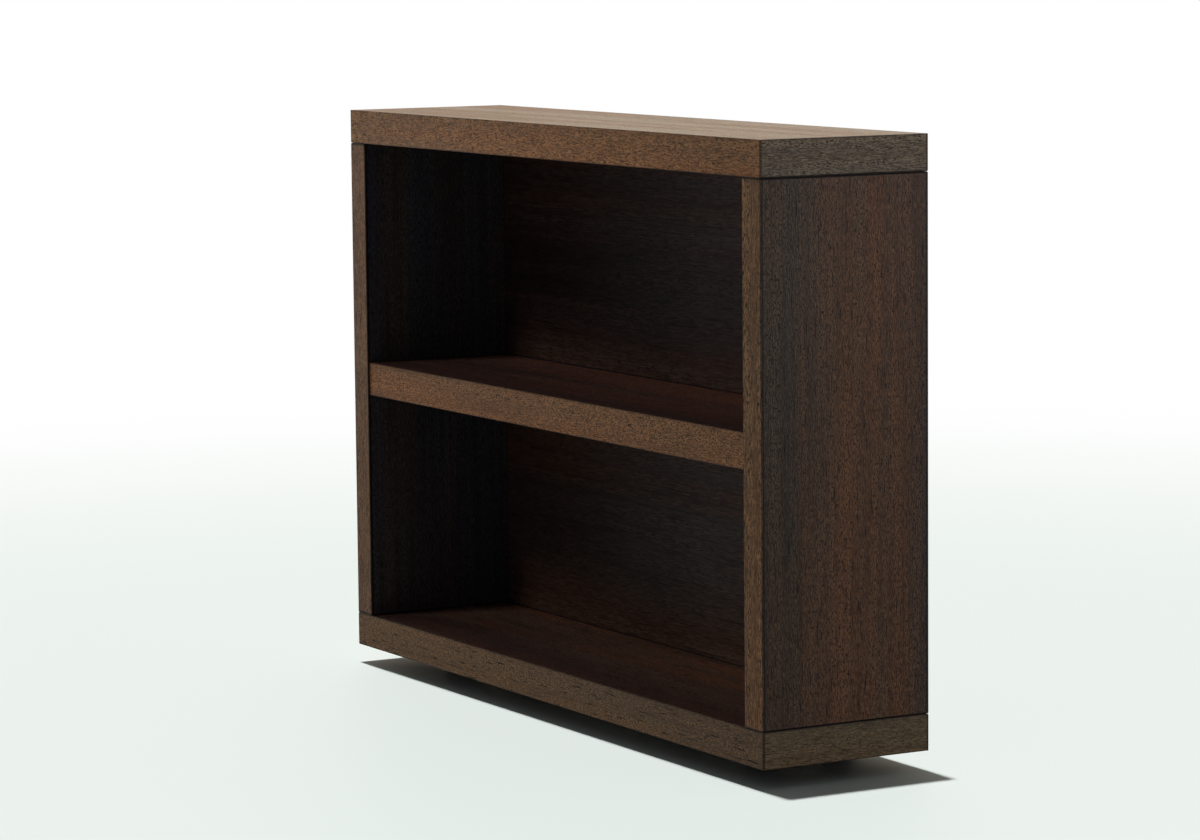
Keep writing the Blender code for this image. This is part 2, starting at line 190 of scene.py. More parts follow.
def make_veneer_grain():
    """Open-pored dark veneer. The grain runs along the X axis of the coordinates given."""
    tree, given, result = new_group(
        "veneer_grain",
        [("Vector", "NodeSocketVector"), ("Dark", "NodeSocketColor"), ("Light", "NodeSocketColor"),
         ("Pore", "NodeSocketColor"), ("Contrast", "NodeSocketFloat"), ("Pore Amount", "NodeSocketFloat"),
         ("Cool Band", "NodeSocketColor"), ("Warm Band", "NodeSocketColor")],
        [("Color", "NodeSocketColor"), ("Dullness", "NodeSocketFloat"), ("Height", "NodeSocketFloat")])
    vector = given.outputs["Vector"]
    band = remap(tree, pattern_layer(tree, vector, BANDS), *BAND_RANGE)
    stripe = pattern_layer(tree, vector, STRIPES)
    fibre = pattern_layer(tree, vector, FIBRES)
    stripe_tone = math_node(tree, "MULTIPLY", stripe, STRIPE_SHARE)
    fine = math_node(tree, "MULTIPLY_ADD", fibre, FIBRE_SHARE, stripe_tone)
    from_middle = math_node(tree, "SUBTRACT", fine, MIDDLE_GREY)
    shift = math_node(tree, "MULTIPLY", from_middle, given.outputs["Contrast"])
    tone = math_node(tree, "ADD", shift, MIDDLE_GREY, clamp=True)
    ground = mix_colour(tree, tone, given.outputs["Dark"], given.outputs["Light"])
    tint = mix_colour(tree, band, given.outputs["Cool Band"], given.outputs["Warm Band"])
    ground = mix_colour(tree, 1.0, ground, tint, "MULTIPLY")
    short = remap(tree, pattern_layer(tree, vector, PORES), *PORE_RANGE)
    long = remap(tree, pattern_layer(tree, vector, VESSELS), *VESSEL_RANGE)
    clusters = remap(tree, stripe, *CLUSTER_RANGE, PORES_OUT_OF_CLUSTERS, 1.0)
    pores = math_node(tree, "MAXIMUM", math_node(tree, "MULTIPLY", short, clusters), long)
    pore_mask = math_node(tree, "MULTIPLY", pores, given.outputs["Pore Amount"], clamp=True)
    relief = math_node(tree, "SUBTRACT", math_node(tree, "MULTIPLY", fibre, FIBRE_RELIEF), pore_mask)
    tree.links.new(mix_colour(tree, pore_mask, ground, given.outputs["Pore"]), result.inputs["Color"])
    dull_stripe = math_node(tree, "MULTIPLY", stripe, STRIPE_DULLNESS)
    dull = math_node(tree, "MULTIPLY_ADD", band, BAND_DULLNESS, dull_stripe)
    tree.links.new(math_node(tree, "MAXIMUM", dull, pore_mask), result.inputs["Dullness"])
    tree.links.new(relief, result.inputs["Height"])
    return tree


def make_tone_zones():
    """Zones of tone laid side by side across a board, from one border to the next, mostly painted light and
    shade.
    """
    tree, given, result = new_group(
        "tone_zones",
        [("Across", "NodeSocketFloat"), ("First Border", "NodeSocketFloat"), ("Second Border", "NodeSocketFloat"),
         ("Border Blend", "NodeSocketFloat"), ("First Zone", "NodeSocketColor"),
         ("Middle Zone", "NodeSocketColor"), ("Last Zone", "NodeSocketColor")],
        [("Color", "NodeSocketColor")])
    tone = given.outputs["First Zone"]
    for border, zone in (("First Border", "Middle Zone"), ("Second Border", "Last Zone")):
        past = math_node(tree, "SUBTRACT", given.outputs["Across"], given.outputs[border])
        share = math_node(tree, "DIVIDE", past, given.outputs["Border Blend"])
        tone = mix_colour(tree, remap(tree, share, -1.0, 1.0), tone, given.outputs[zone])
    tree.links.new(tone, result.inputs["Color"])
    return tree


def make_arris_mask():
    """How near a point on a board, within its box, is to one of the board's edges."""
    tree, given, result = new_group(
        "arris_mask",
        [("Position", "NodeSocketVector"), ("Low", "NodeSocketVector"), ("High", "NodeSocketVector"),
         ("Reach", "NodeSocketFloat")],
        [("Mask", "NodeSocketFloat")])
    from_low = add_node(tree, "ShaderNodeVectorMath", {
        0: given.outputs["Position"], 1: given.outputs["Low"]}, operation="SUBTRACT")
    from_high = add_node(tree, "ShaderNodeVectorMath", {
        0: given.outputs["High"], 1: given.outputs["Position"]}, operation="SUBTRACT")
    nearest = add_node(tree, "ShaderNodeVectorMath", {
        0: from_low.outputs[0], 1: from_high.outputs[0]}, operation="MINIMUM")
    x, y, z = add_node(tree, "ShaderNodeSeparateXYZ", {0: nearest.outputs[0]}).outputs
    smaller = math_node(tree, "MINIMUM", x, y)
    larger = math_node(tree, "MAXIMUM", x, y)
    second = math_node(tree, "MAXIMUM", smaller, math_node(tree, "MINIMUM", larger, z))
    share = math_node(tree, "DIVIDE", second, given.outputs["Reach"])
    tree.links.new(remap(tree, share, *LINE_FADE, 1.0, 0.0), result.inputs["Mask"])
    return tree


VENEER_GRAIN = make_veneer_grain()
TONE_ZONES = make_tone_zones()
ARRIS_MASK = make_arris_mask()


def colour(red, green, blue):
    """A colour with full alpha."""
    return (red, green, blue, 1.0)


def new_material(name):
    """An empty node material. Returns the material, its tree and its Principled shader."""
    material = bpy.data.materials.new(name)
    material.use_nodes = True
    return material, material.node_tree, material.node_tree.nodes["Principled BSDF"]


def group_node(tree, group, inputs):
    """A node that uses a group."""
    return add_node(tree, "ShaderNodeGroup", inputs, node_tree=group)


def set_material(piece, material):
    """Put one material on every slot of a piece."""
    if not piece.material_slots:
        piece.data.materials.append(material)
    for slot in piece.material_slots:
        slot.material = material


# Veneers and dowel wood: inputs of the grain
PLAIN = colour(1.0, 1.0, 1.0)
FINISHES = {
    "face": {
        "Dark": colour(0.041, 0.0206, 0.0133), "Light": colour(0.130, 0.072, 0.047),
        "Pore": colour(0.006, 0.004, 0.004), "Contrast": 5.6, "Pore Amount": 1.0,
        "Cool Band": colour(0.86, 0.98, 1.10), "Warm Band": colour(1.14, 1.02, 0.92)},
    "edge": {
        "Dark": colour(0.089, 0.044, 0.020), "Light": colour(0.250, 0.129, 0.059),
        "Pore": colour(0.012, 0.007, 0.004), "Contrast": 4.6, "Pore Amount": 0.9,
        "Cool Band": colour(0.90, 0.95, 1.00), "Warm Band": colour(1.06, 1.01, 0.96)},
    "beech": {
        "Dark": colour(0.46, 0.29, 0.17), "Light": colour(0.66, 0.47, 0.31),
        "Pore": colour(0.33, 0.18, 0.10), "Contrast": 1.8, "Pore Amount": 0.6,
        "Cool Band": PLAIN, "Warm Band": PLAIN},
}

# Tones of single pieces against the finish they share: partly each piece's own tone, partly painted light and
# shade
# Painted: front strips lighter at the top and darker at the bottom, the boards inside the bays and the left
# side darker as painted shade, the end strips greyer as a painted sheen
PAINTED_LIGHT_AND_PIECE_TONES = {
    "top_front_edging": (1.22, 1.13, 0.98),
    "shelf_front_edging": (1.13, 1.01, 0.86),
    "bottom_front_edging": (0.73, 0.80, 0.78),
    "left_side_front_edging": (0.79, 0.84, 0.93),
    "right_side_front_edging": (0.95, 0.94, 0.82),
    "top_right_edging": (0.77, 1.13, 1.66),
    "bottom_right_edging": (0.67, 0.90, 1.06),
    "top_board": (1.11, 0.90, 0.72),
    "middle_shelf": (0.72, 0.63, 0.75),
    "bottom_board": (0.84, 0.76, 0.78),
    "back_panel": (0.64, 0.66, 0.72),
    "left_side": (0.80, 0.87, 0.94),
    "top_left_edging": (0.74, 0.78, 0.98),
    "top_rear_edging": (0.80, 0.80, 0.98),
    "bottom_left_edging": (0.64, 0.68, 0.86),
    "bottom_rear_edging": (0.68, 0.70, 0.86),
    "left_side_rear_edging": (0.76, 0.78, 0.96),
    "right_side_rear_edging": (0.76, 0.78, 0.92),
}

# Grain of single pieces where it is plainer or stronger than in the finish they share
PIECE_GRAIN = {
    "top_front_edging": {"Contrast": 4.3, "Pore Amount": 0.85},
    "shelf_front_edging": {"Contrast": 6.4, "Pore Amount": 1.0},
    "bottom_front_edging": {"Contrast": 5.8, "Pore Amount": 1.0},
    "right_side_front_edging": {"Contrast": 6.8, "Pore Amount": 1.0},
    "bottom_right_edging": {"Contrast": 3.6, "Pore Amount": 0.6},
    "back_panel": {"Contrast": 4.2, "Pore Amount": 0.7},
    "left_side": {"Contrast": 4.6, "Pore Amount": 0.8},
}

# Pieces whose veneer is cut with a longer grain, as the scale of the pattern along each axis
PIECE_STRETCH = {"back_panel": (0.3, 1.0, 1.0)}

# Zones of tone across a board, mostly painted light and shade: the axis that they follow and the inputs of
# the tone zones
BOARD_TONES_AND_PAINTED_LIGHT = {
    # Bottom board and shelf: painted light, darker at the front and lighter towards the back, against the
    # shade of the board above
    "bottom_board": ("Y", {
        "First Border": -0.045, "Second Border": 0.015, "Border Blend": 0.030,
        "First Zone": colour(0.60, 0.62, 0.74), "Middle Zone": colour(0.98, 0.98, 0.98),
        "Last Zone": colour(1.42, 1.33, 1.14)}),
    "middle_shelf": ("Y", {
        "First Border": -0.045, "Second Border": 0.015, "Border Blend": 0.030,
        "First Zone": colour(0.74, 0.76, 0.80), "Middle Zone": colour(1.14, 1.10, 1.06),
        "Last Zone": colour(1.58, 1.43, 1.28)}),
    # Back panel: painted shade, darker in the upper bay and most of all in its lower part
    "back_panel": ("Z", {
        "First Border": 0.352, "Second Border": 0.470, "Border Blend": 0.020,
        "First Zone": PLAIN, "Middle Zone": colour(0.66, 0.65, 0.73), "Last Zone": colour(0.90, 0.90, 0.96)}),
    # Left side: a painted cool shade on its inner face
    "left_side": ("X", {
        "First Border": -0.402, "Second Border": 0.0, "Border Blend": 0.006,
        "First Zone": PLAIN, "Middle Zone": colour(0.74, 1.06, 1.62), "Last Zone": PLAIN}),
    # Right side: grey-blue at its front as a painted reflection, warmer in the middle and darker at its rear
    "right_side": ("Y", {
        "First Border": -0.040, "Second Border": 0.078, "Border Blend": 0.030,
        "First Zone": colour(0.67, 0.80, 0.79), "Middle Zone": colour(1.14, 1.00, 0.78),
        "Last Zone": colour(0.64, 0.66, 0.70)}),
}

# Dark lines along arrises and in the grooves of the sides, which are painted shade, and in joints: their
# tone, strengths and widths
ARRIS_TONE = colour(0.010, 0.009, 0.010)
ARRIS_STRENGTH = 0.60
ARRIS_REACH = 0.0012
GROOVE_STRENGTH = 0.97
GROOVE_REACH = 0.0019
JOINT_STRENGTH = 0.85
JOINT_REACH = 0.0018

# Widths of the dark joints at the ends of the upright edging strips
STRIP_JOINTS = {
    "left_side_front_edging": 0.0026,
    "right_side_front_edging": 0.0020,
    "left_side_rear_edging": 0.0020,
    "right_side_rear_edging": 0.0020,
}

# Sheen of wood: roughness on the ground and in the pores, and the share of reflection
SATIN = (0.34, 0.52, 0.18)
POLISHED_BY_USE = (0.24, 0.48, 0.30)
BARE_BEECH = (0.55, 0.70, 0.30)

# Relief: depth of the pores, and the strength of the relief on veneer, on beech and on hardware
PORE_DEPTH = 0.0002
VENEER_RELIEF = 0.4
BEECH_RELIEF = 0.3
HARDWARE_RELIEF = 0.5

# Shift of the pattern from one piece of veneer to the next
PATTERN_SHIFT = (0.37, 0.193, 0.271)


def joint_line(tree, position):
    """The dark line round each bay where the front of the back panel meets the boards."""
    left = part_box("left_side")[1].x
    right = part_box("right_side")[0].x
    shelf_low, shelf_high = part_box("middle_shelf")
    panel_low, panel_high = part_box("back_panel")
    bays = ((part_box("bottom_board")[1].z, shelf_low.z), (shelf_high.z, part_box("top_board")[0].z))
    masks = []
    for floor, ceiling in bays:
        edges = group_node(tree, ARRIS_MASK, {
            "Position": position, "Low": (left, shelf_low.y, floor), "High": (right, panel_low.y, ceiling),
            "Reach": JOINT_REACH})
        masks.append(edges.outputs["Mask"])
    line = math_node(tree, "MULTIPLY", math_node(tree, "MINIMUM", *masks), JOINT_STRENGTH)
    depth = add_node(tree, "ShaderNodeSeparateXYZ", {0: position}).outputs["Y"]
    on_front = math_node(tree, "LESS_THAN", depth, (panel_low.y + panel_high.y) / 2)
    return math_node(tree, "MULTIPLY", line, on_front)


def end_line(tree, position, strip):
    """The dark line at both ends of an upright strip, where it meets the boards above and below."""
    low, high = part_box(strip)
    beside = Vector((high.x - low.x, 0.0, 0.0))
    ends = group_node(tree, ARRIS_MASK, {
        "Position": position, "Low": low - beside, "High": high + beside, "Reach": STRIP_JOINTS[strip]})
    return math_node(tree, "MULTIPLY", ends.outputs["Mask"], JOINT_STRENGTH)


def finish_wood(tree, shader, wood, sheen, relief):
    """Give a wooden surface its sheen and the relief of its pores."""
    smooth, rough, reflection = sheen
    tree.links.new(remap(tree, wood.outputs["Dullness"], 0.0, 1.0, smooth, rough), shader.inputs["Roughness"])
    bump = add_node(tree, "ShaderNodeBump", {
        "Height": wood.outputs["Height"], "Distance": PORE_DEPTH, "Strength": relief})
    tree.links.new(bump.outputs[0], shader.inputs["Normal"])
    shader.inputs["Specular IOR Level"].default_value = reflection


def veneer_material(node, finish, grain, shift):
    """The veneer of one board or strip, with its own stretch of grain, its zones of tone with painted light
    and shade, and painted shade along its arrises.
    """
    material, tree, shader = new_material(f"{node}_veneer")
    position = add_node(tree, "ShaderNodeTexCoord").outputs["Object"]
    along_grain = add_node(tree, "ShaderNodeMapping", {
        "Vector": position, "Rotation": GRAIN_TURNS[grain], "Location": shift,
        "Scale": PIECE_STRETCH.get(node, (1.0, 1.0, 1.0))})
    wood = group_node(tree, VENEER_GRAIN, {
        "Vector": along_grain.outputs[0], **FINISHES[finish], **PIECE_GRAIN.get(node, {})})
    # Painted light and shade, together with the piece's own tone
    tint = colour(*PAINTED_LIGHT_AND_PIECE_TONES.get(node, (1.0, 1.0, 1.0)))
    tone = mix_colour(tree, 1.0, wood.outputs["Color"], tint, "MULTIPLY")
    # Painted light and shade across the board, in zones of tone
    if node in BOARD_TONES_AND_PAINTED_LIGHT:
        axis, zone_inputs = BOARD_TONES_AND_PAINTED_LIGHT[node]
        across = add_node(tree, "ShaderNodeSeparateXYZ", {0: position}).outputs[axis]
        match = group_node(tree, TONE_ZONES, {"Across": across, **zone_inputs})
        tone = mix_colour(tree, 1.0, tone, match.outputs["Color"], "MULTIPLY")
    low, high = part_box(node)
    # Painted shade: a dark line along every arris, deeper and wider in the grooves of the sides
    grooved = node in ("left_side", "right_side")
    reach = GROOVE_REACH if grooved else ARRIS_REACH
    arris = group_node(tree, ARRIS_MASK, {"Position": position, "Low": low, "High": high, "Reach": reach})
    strength = GROOVE_STRENGTH if grooved else ARRIS_STRENGTH
    painted_arris_shade = math_node(tree, "MULTIPLY", arris.outputs["Mask"], strength)
    tone = mix_colour(tree, painted_arris_shade, tone, ARRIS_TONE)
    if node == "back_panel":
        tone = mix_colour(tree, joint_line(tree, position), tone, ARRIS_TONE)
    if node in STRIP_JOINTS:
        tone = mix_colour(tree, end_line(tree, position, node), tone, ARRIS_TONE)
    tree.links.new(tone, shader.inputs["Base Color"])
    sheen = POLISHED_BY_USE if node == "top_board" else SATIN
    finish_wood(tree, shader, wood, sheen, VENEER_RELIEF)
    return material


def dress_veneer():
    """Give every board and edging strip its veneer."""
    boards = {"top_board": "X", "bottom_board": "X", "middle_shelf": "X", "back_panel": "X",
              "left_side": "Z", "right_side": "Z"}
    pieces = [(name, "face", grain) for name, grain in boards.items()]
    for board in ("top", "bottom"):
        pieces += [(f"{board}_{end}_edging", "edge", "X") for end in ("front", "rear")]
        pieces += [(f"{board}_{end}_edging", "edge", "Y") for end in ("left", "right")]
    for side in ("left", "right"):
        pieces += [(f"{side}_side_{end}_edging", "edge", "Z") for end in ("front", "rear")]
    pieces.append(("shelf_front_edging", "edge", "X"))
    for index, (name, finish, grain) in enumerate(pieces):
        shift = tuple(step * index for step in PATTERN_SHIFT)
        set_material(NODES[name], veneer_material(name, finish, grain, shift))


def make_surface_mottle():
    """Uneven tone and fine relief of a plated, turned or moulded surface."""
    tree, given, result = new_group(
        "surface_mottle",
        [("Vector", "NodeSocketVector"), ("Clouds", "NodeSocketFloat"), ("Grain", "NodeSocketFloat")],
        [("Tone", "NodeSocketFloat"), ("Height", "NodeSocketFloat")])
    vector = given.outputs["Vector"]
    sizes = []
    for size in ("Clouds", "Grain"):
        scaled = add_node(tree, "ShaderNodeVectorMath", {
            0: vector, "Scale": given.outputs[size]}, operation="SCALE")
        sizes.append(noise(tree, scaled.outputs[0], *MOTTLE_NOISE))
    clouds, grain = sizes
    grain_tone = math_node(tree, "MULTIPLY", grain, GRAIN_SHARE)
    tone = math_node(tree, "MULTIPLY_ADD", clouds, CLOUD_SHARE, grain_tone)
    tree.links.new(remap(tree, tone, *MOTTLE_RANGE), result.inputs["Tone"])
    tree.links.new(grain, result.inputs["Height"])
    return tree


SURFACE_MOTTLE = make_surface_mottle()

# Finishes of the hardware: two tones with their roughness, cells per metre of the mottle, depth of the relief
ZINC_PLATE = {
    "dark": colour(0.50, 0.52, 0.55), "light": colour(0.76, 0.76, 0.74), "roughness": (0.42, 0.26),
    "clouds": 320.0, "grain": 2600.0, "relief": 0.00003}
TURNED_STEEL = {
    "dark": colour(0.34, 0.34, 0.35), "light": colour(0.62, 0.61, 0.60), "roughness": (0.46, 0.28),
    "clouds": 240.0, "grain": 1500.0, "relief": 0.00003, "stretch_by": (1.0, 1.0, 9.0)}
BLACK_PLASTIC = {
    "dark": colour(0.012, 0.012, 0.013), "light": colour(0.030, 0.030, 0.031), "roughness": (0.62, 0.46),
    "clouds": 180.0, "grain": 3200.0, "relief": 0.00006}
PLASTIC_REFLECTION = 0.4


def mottled_material(name, dark, light, roughness, clouds, grain, relief, stretch_by=(1.0, 1.0, 1.0)):
    """A hardware finish between two tones, with its relief. Returns the material and its shader."""
    material, tree, shader = new_material(name)
    position = add_node(tree, "ShaderNodeTexCoord").outputs["Object"]
    mottle = group_node(tree, SURFACE_MOTTLE, {
        "Vector": stretch(tree, position, stretch_by), "Clouds": clouds, "Grain": grain})
    tree.links.new(mix_colour(tree, mottle.outputs["Tone"], dark, light), shader.inputs["Base Color"])
    tree.links.new(remap(tree, mottle.outputs["Tone"], 0.0, 1.0, *roughness), shader.inputs["Roughness"])
    bump = add_node(tree, "ShaderNodeBump", {
        "Height": mottle.outputs["Height"], "Distance": relief, "Strength": HARDWARE_RELIEF})
    tree.links.new(bump.outputs[0], shader.inputs["Normal"])
    return material, shader


def zinc_plate_material():
    """Bright zinc plating with a faint cool bloom."""
    material, shader = mottled_material("zinc_plate", **ZINC_PLATE)
    shader.inputs["Metallic"].default_value = 1.0
    return material


def turned_steel_material():
    """Steel with the fine rings that the lathe leaves round the stem."""
    material, shader = mottled_material("turned_steel", **TURNED_STEEL)
    shader.inputs["Metallic"].default_value = 1.0
    return material


def black_plastic_material():
    """Moulded black plastic with a fine spark-eroded grain."""
    material, shader = mottled_material("black_plastic", **BLACK_PLASTIC)
    shader.inputs["Specular IOR Level"].default_value = PLASTIC_REFLECTION
    return material


def beech_material(grain):
    """Pale beech with short darker flecks along the dowel."""
    material, tree, shader = new_material(f"beech_along_{grain.lower()}")
    position = add_node(tree, "ShaderNodeTexCoord").outputs["Object"]
    along_grain = add_node(tree, "ShaderNodeMapping", {"Vector": position, "Rotation": GRAIN_TURNS[grain]})
    wood = group_node(tree, VENEER_GRAIN, {"Vector": along_grain.outputs[0], **FINISHES["beech"]})
    tree.links.new(wood.outputs["Color"], shader.inputs["Base Color"])
    finish_wood(tree, shader, wood, BARE_BEECH, BEECH_RELIEF)
    return material


# Modelling: distances that count as one place, the least slope of a face that counts as an end, smoothing
WELD_DISTANCE = 1e-6
CUT_DISTANCE = 1e-7
NEAR = 1e-5
END_FACING = 0.9
SMOOTH_ANGLE = math.radians(32)
START_SIZE = 0.01
ROUND_STEPS = 48
BEVEL_SEGMENTS = 2

# Turns of the hardware from its upright pattern
NO_TURN = (0.0, 0.0, 0.0)
TURN_TO_LENGTH = (0.0, math.pi / 2, 0.0)
TURN_TO_REAR = (math.pi / 2, 0.0, 0.0)

# Dowel, with the sizes of its solid
DOWEL_RADIUS = 0.004
DOWEL_LENGTH = 0.032
DOWEL_END = 0.001
DOWEL_END_SHARE = 0.78
DOWEL_SIDES = 32
FLUTE_DEPTH = 0.0003

# Thread and stem of a foot, with the sizes of the solid
STEM_RADIUS = 0.004
STEM_LENGTH = 0.026
STEM_TIP = 0.001
STEM_TIP_SHARE = 0.78
STEM_NECK = 0.0012
STEM_SEAT = 0.002
THREAD_PITCH = 0.00125
THREAD_DEPTH = 0.00065
THREAD_STEPS = 24
TOOTH_FOOT_SHARE = 0.2
TOOTH_CREST_SHARES = (0.55, 0.65)
COLLAR_SIDES = 6
COLLAR_CORNER = 0.00808
COLLAR_HEIGHT = 0.0074
COLLAR_CHAMFER = 0.0006
SPIGOT_RADIUS = 0.003
SPIGOT_LENGTH = 0.005
SPIGOT_SEAT = 0.001
SPIGOT_CHAMFER = 0.0005

# Insert, with the sizes of its solid, and with its rounded rim as steps from the sharp corner
BORE_RADIUS = 0.0043
BORE_CHAMFER = 0.0009
BORE_THREAD_DEPTH = 0.0004
INSERT_RADIUS = 0.006
INSERT_LENGTH = 0.016
INSERT_NOSE = 0.001
FLANGE_RADIUS = 0.008
FLANGE_THICKNESS = 0.0015
FLANGE_BACK_CHAMFER = 0.0003
FLANGE_RIM_STEPS = ((0.0, 0.0005), (-0.0002, 0.00015), (-0.0005, 0.0))
BARB_COUNT = 8
BARB_DEPTH = 0.0007
BARB_RISE_SHARE = 0.75
BARB_LAND_SHARE = 0.9

# Pad of a foot, with the sizes of its solid, and with its rounded edges as steps from their sharp corners
PAD_RADIUS = 0.016
PAD_SHOULDER_RADIUS = 0.010
PAD_HEIGHT = 0.012
PAD_RIM_HEIGHT = 0.005
PAD_SOCKET_RADIUS = 0.0033
PAD_SOCKET_CHAMFER = 0.0004
PAD_SHOULDER_STEPS = ((-0.0010, 0.0), (-0.0003, -0.0002), (0.0003, -0.0007))
PAD_RIM_STEPS = ((-0.0009, 0.0007), (-0.0003, 0.0), (0.0, -0.0007))
PAD_FOOT_STEPS = ((0.0, 0.0010), (-0.0003, 0.0003), (-0.0010, 0.0))
PAD_RING_RADII = (0.0125, 0.0095, 0.0065)
PAD_RING_STEPS = ((0.0, 0.0), (-0.0003, 0.0005), (-0.0012, 0.0005), (-0.0015, 0.0))
PAD_STEPS = 48
PAD_RIBS = 12
RIB_FROM_SHOULDER = 0.001
RIB_FROM_RIM = 0.0012
RIB_FACING = 0.3
RIB_WALL = 0.0005
RIB_HEIGHT = 0.0006
GRIP_BAND = 0.0004
GRIP_FACING = 0.99
GRIP_WALL = 0.0003
GRIP_DEPTH = 0.0003


def leave_edit_mode():
    """Back to object mode with smooth faces and crisp edges."""
    bpy.ops.object.mode_set(mode="OBJECT")
    bpy.ops.object.shade_smooth_by_angle(angle=SMOOTH_ANGLE)


def select_faces(piece, wanted):
    """In edit mode, select only the faces whose centre and normal are wanted."""
    bpy.ops.mesh.select_all(action="DESELECT")
    bpy.ops.mesh.select_mode(type="FACE")
    mesh = bmesh.from_edit_mesh(piece.data)
    for face in mesh.faces:
        face.select_set(wanted(face.calc_center_median(), face.normal))
    bmesh.update_edit_mesh(piece.data)


def select_edges(piece, wanted):
    """In edit mode, select only the edges whose two ends are wanted."""
    bpy.ops.mesh.select_all(action="DESELECT")
    bpy.ops.mesh.select_mode(type="EDGE")
    mesh = bmesh.from_edit_mesh(piece.data)
    for edge in mesh.edges:
        edge.select_set(all(wanted(corner.co) for corner in edge.verts))
    bmesh.update_edit_mesh(piece.data)


def close_mesh():
    """In edit mode, weld the seams and turn all faces outwards."""
    bpy.ops.mesh.select_all(action="SELECT")
    bpy.ops.mesh.remove_doubles(threshold=WELD_DISTANCE)
    bpy.ops.mesh.normals_make_consistent(inside=False)


def rounded_edge(radius, height, steps):
    """Points of a rounded edge, from its steps outwards and upwards from the sharp corner."""
    return [(radius + outwards, height + upwards) for outwards, upwards in steps]


def draw_profile(name, points):
    """Start a piece, in edit mode, as a line through points of (distance from the axis, height)."""
    bpy.ops.object.select_all(action="DESELECT")
    bpy.ops.mesh.primitive_plane_add(size=START_SIZE)
    piece = bpy.context.active_object
    piece.name = name
    bpy.ops.object.mode_set(mode="EDIT")
    bpy.ops.mesh.select_mode(type="VERT")
    bpy.ops.mesh.select_all(action="SELECT")
    bpy.ops.mesh.merge(type="CENTER")
    bpy.ops.mesh.select_all(action="SELECT")
    bpy.ops.transform.translate(value=(points[0][0], 0.0, points[0][1]))
    for before, after in zip(points, points[1:]):
        step = (after[0] - before[0], 0.0, after[1] - before[1])
        bpy.ops.mesh.extrude_vertices_move(TRANSFORM_OT_translate={"value": step})
    return piece


def turn_on_lathe(steps):
    """In edit mode, turn the drawn profile about the Z axis into a closed body."""
    bpy.ops.mesh.select_all(action="SELECT")
    bpy.ops.mesh.remove_doubles(threshold=WELD_DISTANCE)
    bpy.ops.mesh.select_all(action="SELECT")
    bpy.ops.mesh.spin(steps=steps, angle=2 * math.pi, center=(0, 0, 0), axis=(0, 0, 1))
    close_mesh()


def add_cylinder(name, sides, radius, low, high):
    """Start a piece, in edit mode, as a cylinder on the Z axis."""
    bpy.ops.object.select_all(action="DESELECT")
    bpy.ops.mesh.primitive_cylinder_add(
        vertices=sides, radius=radius, depth=high - low, location=(0.0, 0.0, (low + high) / 2))
    piece = bpy.context.active_object
    piece.name = name
    bpy.ops.object.transform_apply(location=True, rotation=True, scale=True)
    bpy.ops.object.mode_set(mode="EDIT")
    return piece


def model_fluted_dowel():
    """A beech dowel with flutes for the glue and chamfered ends, centred on its middle."""
    body_half = DOWEL_LENGTH / 2 - DOWEL_END
    dowel = add_cylinder("dowel_pattern", DOWEL_SIDES, DOWEL_RADIUS, -body_half, body_half)
    for end in (1, -1):
        select_faces(dowel, lambda centre, normal, end=end: normal.z * end > END_FACING)
        bpy.ops.mesh.extrude_region_move(TRANSFORM_OT_translate={"value": (0.0, 0.0, end * DOWEL_END)})
        bpy.ops.transform.resize(
            value=(DOWEL_END_SHARE, DOWEL_END_SHARE, 1.0), center_override=(0.0, 0.0, end * DOWEL_LENGTH / 2))
    bpy.ops.mesh.select_all(action="DESELECT")
    bpy.ops.mesh.select_mode(type="VERT")
    mesh = bmesh.from_edit_mesh(dowel.data)
    for corner in mesh.verts:
        turn = round(math.atan2(corner.co.y, corner.co.x) / (2 * math.pi / DOWEL_SIDES))
        corner.select_set(turn % 2 == 0 and abs(corner.co.z) < body_half + DOWEL_END / 2)
    bmesh.update_edit_mesh(dowel.data)
    share = 1 - FLUTE_DEPTH / DOWEL_RADIUS
    bpy.ops.transform.resize(value=(share, share, 1.0), center_override=(0.0, 0.0, 0.0))
    close_mesh()
    leave_edit_mode()
    return dowel


def model_barbed_insert():
    """A flanged insert with barbs outside and a thread inside. The flange's face is at height 0."""
    root = INSERT_RADIUS - BARB_DEPTH
    barb = (INSERT_LENGTH - FLANGE_THICKNESS - 2 * INSERT_NOSE) / BARB_COUNT
    thread_root = BORE_RADIUS + BORE_THREAD_DEPTH
    profile = [(thread_root, INSERT_LENGTH), (root, INSERT_LENGTH)]
    height = INSERT_LENGTH - INSERT_NOSE
    for _ in range(BARB_COUNT):
        rise = (INSERT_RADIUS, height - BARB_RISE_SHARE * barb)
        land = (INSERT_RADIUS, height - BARB_LAND_SHARE * barb)
        profile += [(root, height), rise, land]
        height -= barb
    profile += [
        (root, height), (root, FLANGE_THICKNESS), (FLANGE_RADIUS - FLANGE_BACK_CHAMFER, FLANGE_THICKNESS),
        (FLANGE_RADIUS, FLANGE_THICKNESS - FLANGE_BACK_CHAMFER)]
    profile += rounded_edge(FLANGE_RADIUS, 0.0, FLANGE_RIM_STEPS)
    profile += [(BORE_RADIUS + BORE_CHAMFER, 0.0), (BORE_RADIUS, BORE_CHAMFER)]
    turns = int((INSERT_LENGTH - 2 * INSERT_NOSE) / THREAD_PITCH)
    for turn in range(turns):
        foot = BORE_CHAMFER + turn * THREAD_PITCH
        profile += [(thread_root, foot + THREAD_PITCH / 2), (BORE_RADIUS, foot + THREAD_PITCH)]
    profile.append(profile[0])
    insert = draw_profile("insert_pattern", profile)
    turn_on_lathe(ROUND_STEPS)
    leave_edit_mode()
    return insert


